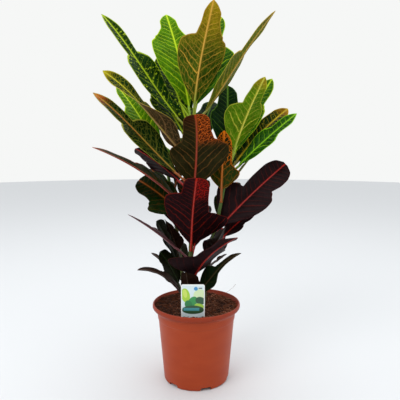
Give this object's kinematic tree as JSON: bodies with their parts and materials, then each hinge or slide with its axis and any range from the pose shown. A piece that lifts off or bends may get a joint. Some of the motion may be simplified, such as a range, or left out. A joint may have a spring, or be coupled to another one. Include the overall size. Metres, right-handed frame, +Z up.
{
  "type": "potted croton plant",
  "caption": "Croton with upright stems and broad lobed leaves, green and yellow above to dark red below, planted in peat in a terracotta coloured nursery pot with a plant label.",
  "frame": {"origin": "on the floor below the middle of the plant, at the axis of the pot", "axes": "+Z up, -Y towards the viewer of the front, +X to the right of the front"},
  "size_m": [0.4187, 0.2646, 0.7903],
  "materials": {
    "pot": "satin moulded plastic",
    "soil": "matt fibrous peat",
    "label": "smooth printed card",
    "stem": "green-brown bark",
    "leaf_young": "glossy leaf, yellow veins",
    "leaf_middle": "glossy leaf, orange veins",
    "leaf_old": "glossy leaf, red veins"
  },
  "bodies": {
    "root": {"pot": "pot", "soil": "soil", "label": "label", "stem_a": "stem", "stem_b": "stem", "stem_c": "stem", "leaf_crown_front": "leaf_young", "leaf_crown_left": "leaf_young", "leaf_crown_back": "leaf_young", "leaf_spear_right": "leaf_young", "leaf_spear_left": "leaf_young", "leaf_upright_left": "leaf_young", "leaf_inner_left": "leaf_young", "leaf_twisted_left": "leaf_middle", "leaf_bud_front": "leaf_young", "leaf_mid_right": "leaf_middle", "leaf_mid_olive": "leaf_middle", "leaf_tip_left": "leaf_middle", "leaf_red_front": "leaf_middle", "leaf_hidden_left": "leaf_middle", "leaf_knife_left": "leaf_old", "leaf_round_left": "leaf_old", "leaf_maroon_front": "leaf_old", "leaf_thin_left": "leaf_old", "leaf_maroon_low": "leaf_old", "leaf_curled_left": "leaf_old", "leaf_broad_low": "leaf_old", "leaf_young_left": "leaf_young", "leaf_dark_left": "leaf_old", "leaf_sliver_left": "leaf_old", "leaf_right_front": "leaf_young", "leaf_right_behind": "leaf_young", "leaf_right_dark": "leaf_middle", "leaf_right_tip": "leaf_young", "leaf_right_long": "leaf_young", "leaf_right_edge": "leaf_middle", "leaf_orange_front": "leaf_middle", "leaf_maroon_right": "leaf_old", "leaf_maroon_side": "leaf_old", "leaf_sliver_right": "leaf_old", "leaf_low_right": "leaf_old", "leaf_back_high": "leaf_middle", "leaf_back_mid": "leaf_middle", "leaf_back_red": "leaf_old", "leaf_back_low": "leaf_old", "leaf_back_right": "leaf_middle", "leaf_back_right_mid": "leaf_old", "leaf_back_right_low": "leaf_old", "leaf_back_left": "leaf_middle", "leaf_back_left_mid": "leaf_old", "leaf_back_left_low": "leaf_old", "leaf_back_base": "leaf_old", "leaf_low_front": "leaf_old", "leaf_inner_low": "leaf_old", "leaf_inner_right": "leaf_old", "leaf_inner_mid": "leaf_middle"}
  },
  "joints": []
}
